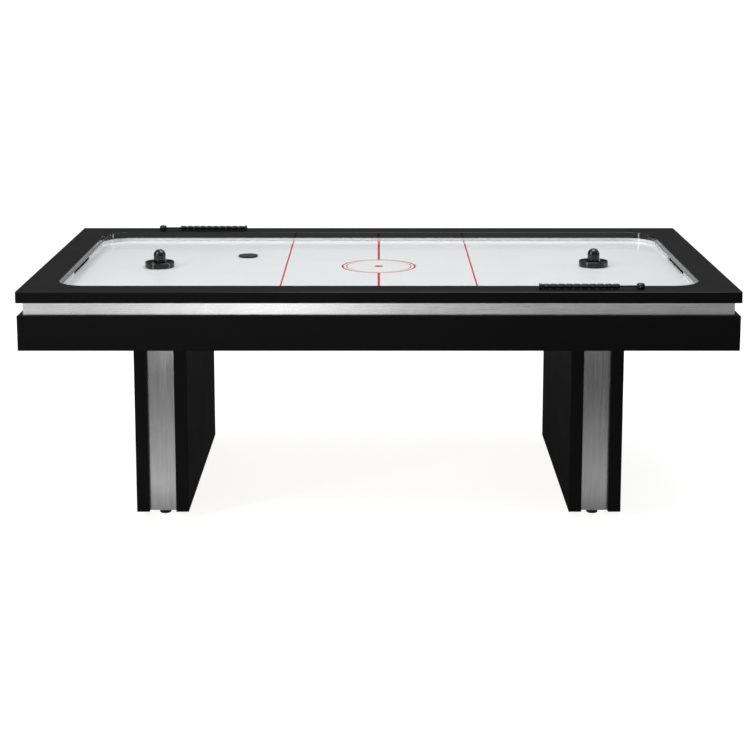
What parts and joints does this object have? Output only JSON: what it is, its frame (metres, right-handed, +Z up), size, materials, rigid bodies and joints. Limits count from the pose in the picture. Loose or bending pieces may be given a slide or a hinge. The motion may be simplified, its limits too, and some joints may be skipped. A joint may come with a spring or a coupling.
{
  "type": "air hockey table",
  "caption": "Air hockey table with black top rails, a glossy white playfield, a silver band and two pedestal legs, with mallets, puck, sliding score counters, goals and a blower.",
  "frame": {"origin": "on the floor under the middle of the table", "axes": "+X along the length to the right-hand goal, front at -Y, +Z up"},
  "size_m": [2.286, 1.27, 0.8293],
  "materials": {
    "black_laminate": "satin black laminate on MDF board",
    "silver_laminate": "brushed silver laminate on MDF board",
    "playfield_laminate": "glossy white laminate on MDF board with printed red lines",
    "raw_board": "bare MDF board",
    "aluminium": "satin anodised",
    "black_gloss_plastic": "polished moulded plastic",
    "black_matte_plastic": "fine-textured moulded plastic",
    "leveller_plastic": "moulded pad on a threaded stem",
    "felt": "dense black felt",
    "steel": "zinc plated",
    "black_steel": "black coated steel rod",
    "motor_paint": "dark enamel",
    "lead_rubber": "matt sheath"
  },
  "bodies": {
    "table": {"air_chamber_floor": "raw_board", "back_apron": "black_laminate", "back_frame_board": "silver_laminate", "back_rail": "black_laminate", "back_scorer_posts": "black_gloss_plastic", "back_scorer_rod": "black_steel", "blower_guard": "steel", "blower_housing": "black_matte_plastic", "blower_lead": "lead_rubber", "blower_motor": "motor_paint", "corner_braces": "raw_board", "corner_rebound_strips": "aluminium", "cross_beams": "raw_board", "end_rebound_strips": "aluminium", "front_apron": "black_laminate", "front_frame_board": "silver_laminate", "front_rail": "black_laminate", "front_scorer_posts": "black_gloss_plastic", "front_scorer_rod": "black_steel", "left_apron": "black_laminate", "left_frame_board": "silver_laminate", "left_leg_back_panel": "silver_laminate", "left_leg_bottom_board": "raw_board", "left_leg_front_panel": "silver_laminate", "left_leg_inner_slab": "black_laminate", "left_leg_mount_board": "raw_board", "left_leg_outer_slab": "black_laminate", "left_puck_box": "black_matte_plastic", "left_rail": "black_laminate", "leg_bolts": "steel", "leveller_nuts": "steel", "long_rebound_strips": "aluminium", "playfield": "playfield_laminate", "playfield_bearers": "raw_board", "playfield_spacers": "raw_board", "power_inlet": "black_matte_plastic", "rail_corner_blocks": "black_laminate", "right_apron": "black_laminate", "right_frame_board": "silver_laminate", "right_leg_back_panel": "silver_laminate", "right_leg_bottom_board": "raw_board", "right_leg_front_panel": "silver_laminate", "right_leg_inner_slab": "black_laminate", "right_leg_mount_board": "raw_board", "right_leg_outer_slab": "black_laminate", "right_puck_box": "black_matte_plastic", "right_rail": "black_laminate"},
    "left_mallet": {"left_mallet": "black_gloss_plastic", "left_mallet_felt": "felt"},
    "right_mallet": {"right_mallet": "black_gloss_plastic", "right_mallet_felt": "felt"},
    "puck": {"puck": "black_gloss_plastic"},
    "front_scorer_beads": {"front_scorer_beads": "black_gloss_plastic"},
    "back_scorer_beads": {"back_scorer_beads": "black_gloss_plastic"},
    "switch_rocker": {"power_switch_rocker": "black_gloss_plastic"},
    "impeller": {"blower_impeller": "black_matte_plastic"},
    "leveller_front_left": {"leveller_front_left": "leveller_plastic"},
    "leveller_front_right": {"leveller_front_right": "leveller_plastic"},
    "leveller_back_left": {"leveller_back_left": "leveller_plastic"},
    "leveller_back_right": {"leveller_back_right": "leveller_plastic"}
  },
  "joints": [
    {"name": "left_mallet_slide", "type": "slide", "parent": "table", "child": "left_mallet", "axis": [1, 0, 0], "range_m": [-0.219, 0.715]},
    {"name": "right_mallet_slide", "type": "slide", "parent": "table", "child": "right_mallet", "axis": [1, 0, 0], "range_m": [-0.702, 0.232]},
    {"name": "puck_slide", "type": "slide", "parent": "table", "child": "puck", "axis": [1, 0, 0], "range_m": [-0.535, 1.481]},
    {"name": "front_scorer_slide", "type": "slide", "parent": "table", "child": "front_scorer_beads", "axis": [1, 0, 0], "range_m": [0, 0.0535]},
    {"name": "back_scorer_slide", "type": "slide", "parent": "table", "child": "back_scorer_beads", "axis": [-1, 0, 0], "range_m": [0, 0.0535]},
    {"name": "power_switch", "type": "hinge", "parent": "table", "child": "switch_rocker", "pos_m": [0.42, 0.6255, 0.676], "axis": [1, 0, 0], "range_deg": [0, 16]},
    {"name": "blower_spin", "type": "hinge", "parent": "table", "child": "impeller", "pos_m": [0.175, 0, 0.68], "axis": [0, 0, 1], "continuous": true},
    {"name": "leveller_front_left_screw", "type": "slide", "parent": "table", "child": "leveller_front_left", "axis": [0, 0, -1], "range_m": [0, 0.012]},
    {"name": "leveller_front_right_screw", "type": "slide", "parent": "table", "child": "leveller_front_right", "axis": [0, 0, -1], "range_m": [0, 0.012]},
    {"name": "leveller_back_left_screw", "type": "slide", "parent": "table", "child": "leveller_back_left", "axis": [0, 0, -1], "range_m": [0, 0.012]},
    {"name": "leveller_back_right_screw", "type": "slide", "parent": "table", "child": "leveller_back_right", "axis": [0, 0, -1], "range_m": [0, 0.012]}
  ]
}
